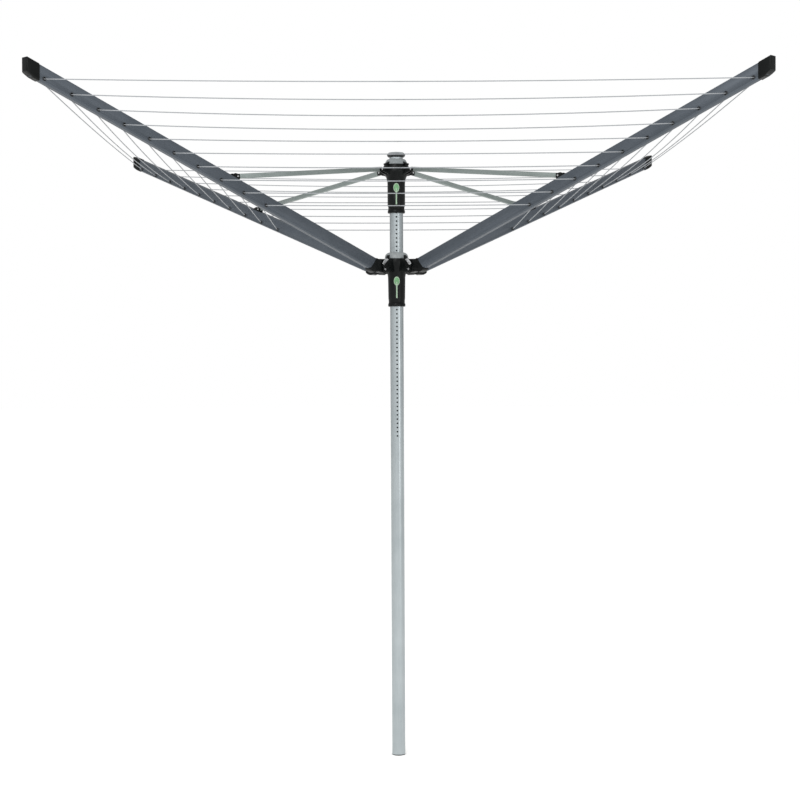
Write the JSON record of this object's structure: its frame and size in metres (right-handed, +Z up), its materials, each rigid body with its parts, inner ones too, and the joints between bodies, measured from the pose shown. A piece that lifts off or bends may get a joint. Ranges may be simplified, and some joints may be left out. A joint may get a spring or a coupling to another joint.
{
  "type": "rotary clothesline",
  "caption": "Rotary clothesline on one pole: a hub with folding arms, struts from an upper crown, and square rows of line between the arms. It spins, folds and sets to height.",
  "frame": {"origin": "centre of the foot's underside, on the pole's axis", "axes": "+Z up the pole; the arms stand on the diagonals of X and Y, so the lines run along X and Y; both catch levers face -Y"},
  "size_m": [2.0758, 2.0758, 2.1652],
  "materials": {
    "pole_aluminium": "satin anodised, drawn along the pole",
    "arm_anodised": "slate anodised, fine lines along the arm",
    "strut_aluminium": "satin anodised",
    "black_plastic": "moulded, fine grain",
    "grey_plastic": "moulded, satin",
    "lever_green": "moulded, satin, pale edge",
    "steel": "zinc plated",
    "liner_plastic": "natural acetal",
    "line_cord": "smooth plastic skin over a fibre core"
  },
  "bodies": {
    "foot": {"pivot_foot": "black_plastic"},
    "pole": {"pole": "pole_aluminium", "pole_cap": "grey_plastic"},
    "crown": {"crown_body": "black_plastic", "crown_cover": "grey_plastic", "crown_cover_clips": "black_plastic", "crown_liner": "liner_plastic", "crown_foot_ring": "black_plastic", "crown_catch_pin": "steel", "crown_catch_spring": "steel"},
    "crown_lever": {"crown_catch_lever": "lever_green", "crown_catch_peg": "steel"},
    "hub": {"hub_body": "black_plastic", "hub_cover": "grey_plastic", "hub_cover_clips": "black_plastic", "hub_liner": "liner_plastic", "hub_foot_ring": "black_plastic", "hub_catch_pin": "steel", "hub_catch_spring": "steel", "arm_hinge_pins": "steel", "hub_side_plates": "steel", "clothesline_1": "line_cord", "clothesline_2": "line_cord", "clothesline_3": "line_cord", "clothesline_4": "line_cord"},
    "hub_lever": {"hub_catch_lever": "lever_green", "hub_catch_peg": "steel"},
    "arm_1": {"arm_1": "arm_anodised", "arm_1_tip_cap": "black_plastic", "arm_1_knuckle": "black_plastic", "arm_1_line_guides": "grey_plastic", "arm_1_strut_bracket": "black_plastic"},
    "strut_1": {"strut_1": "strut_aluminium", "strut_1_ends": "black_plastic", "strut_1_pins": "steel"},
    "arm_2": {"arm_2": "arm_anodised", "arm_2_tip_cap": "black_plastic", "arm_2_knuckle": "black_plastic", "arm_2_line_guides": "grey_plastic", "arm_2_strut_bracket": "black_plastic"},
    "strut_2": {"strut_2": "strut_aluminium", "strut_2_ends": "black_plastic", "strut_2_pins": "steel"},
    "arm_3": {"arm_3": "arm_anodised", "arm_3_tip_cap": "black_plastic", "arm_3_knuckle": "black_plastic", "arm_3_line_guides": "grey_plastic", "arm_3_strut_bracket": "black_plastic"},
    "strut_3": {"strut_3": "strut_aluminium", "strut_3_ends": "black_plastic", "strut_3_pins": "steel"},
    "arm_4": {"arm_4": "arm_anodised", "arm_4_tip_cap": "black_plastic", "arm_4_knuckle": "black_plastic", "arm_4_line_guides": "grey_plastic", "arm_4_strut_bracket": "black_plastic"},
    "strut_4": {"strut_4": "strut_aluminium", "strut_4_ends": "black_plastic", "strut_4_pins": "steel"}
  },
  "joints": [
    {"name": "pole_spin", "type": "hinge", "parent": "foot", "child": "pole", "pos_m": [0, 0, 0.003], "axis": [0, 0, 1], "continuous": true},
    {"name": "height_adjust", "type": "slide", "parent": "pole", "child": "crown", "axis": [0, 0, 1], "range_m": [-0.1846, 0]},
    {"name": "fold", "type": "slide", "parent": "crown", "child": "hub", "axis": [0, 0, -1], "range_m": [0, 0.979], "deforming": ["clothesline_1", "clothesline_2", "clothesline_3", "clothesline_4"]},
    {"name": "arm_1_hinge", "type": "hinge", "parent": "hub", "child": "arm_1", "pos_m": [0.0502, 0.0502, 1.643], "axis": [0.7071, -0.7071, 0], "range_deg": [0, 65.18]},
    {"name": "strut_1_pivot", "type": "hinge", "parent": "arm_1", "child": "strut_1", "pos_m": [0.4971, 0.4971, 1.901], "axis": [0.7071, -0.7071, 0], "range_deg": [-145.72, 0]},
    {"name": "arm_2_hinge", "type": "hinge", "parent": "hub", "child": "arm_2", "pos_m": [-0.0502, 0.0502, 1.643], "axis": [0.7071, 0.7071, 0], "range_deg": [0, 65.18]},
    {"name": "strut_2_pivot", "type": "hinge", "parent": "arm_2", "child": "strut_2", "pos_m": [-0.4971, 0.4971, 1.901], "axis": [0.7071, 0.7071, 0], "range_deg": [-145.72, 0]},
    {"name": "arm_3_hinge", "type": "hinge", "parent": "hub", "child": "arm_3", "pos_m": [-0.0502, -0.0502, 1.643], "axis": [-0.7071, 0.7071, 0], "range_deg": [0, 65.18]},
    {"name": "strut_3_pivot", "type": "hinge", "parent": "arm_3", "child": "strut_3", "pos_m": [-0.4971, -0.4971, 1.901], "axis": [-0.7071, 0.7071, 0], "range_deg": [-145.72, 0]},
    {"name": "arm_4_hinge", "type": "hinge", "parent": "hub", "child": "arm_4", "pos_m": [0.0502, -0.0502, 1.643], "axis": [-0.7071, -0.7071, 0], "range_deg": [0, 65.18]},
    {"name": "strut_4_pivot", "type": "hinge", "parent": "arm_4", "child": "strut_4", "pos_m": [0.4971, -0.4971, 1.901], "axis": [-0.7071, -0.7071, 0], "range_deg": [-145.72, 0]},
    {"name": "crown_catch", "type": "hinge", "parent": "crown", "child": "crown_lever", "pos_m": [0, -0.0252, 1.911], "axis": [-1, 0, 0], "range_deg": [0, 2.5], "stiffness_Nm_per_rad": 1.2, "springref_deg": -3.44},
    {"name": "hub_catch", "type": "hinge", "parent": "hub", "child": "hub_lever", "pos_m": [0, -0.0252, 1.597], "axis": [-1, 0, 0], "range_deg": [0, 2.5], "stiffness_Nm_per_rad": 1.2, "springref_deg": -3.44}
  ],
  "couplings": [
    {"joint": "arm_1_hinge", "follows": "fold", "rad_per_m": 1.1618},
    {"joint": "strut_1_pivot", "follows": "fold", "rad_per_m": -2.5977},
    {"joint": "arm_2_hinge", "follows": "fold", "rad_per_m": 1.1618},
    {"joint": "strut_2_pivot", "follows": "fold", "rad_per_m": -2.5977},
    {"joint": "arm_3_hinge", "follows": "fold", "rad_per_m": 1.1618},
    {"joint": "strut_3_pivot", "follows": "fold", "rad_per_m": -2.5977},
    {"joint": "arm_4_hinge", "follows": "fold", "rad_per_m": 1.1618},
    {"joint": "strut_4_pivot", "follows": "fold", "rad_per_m": -2.5977}
  ]
}
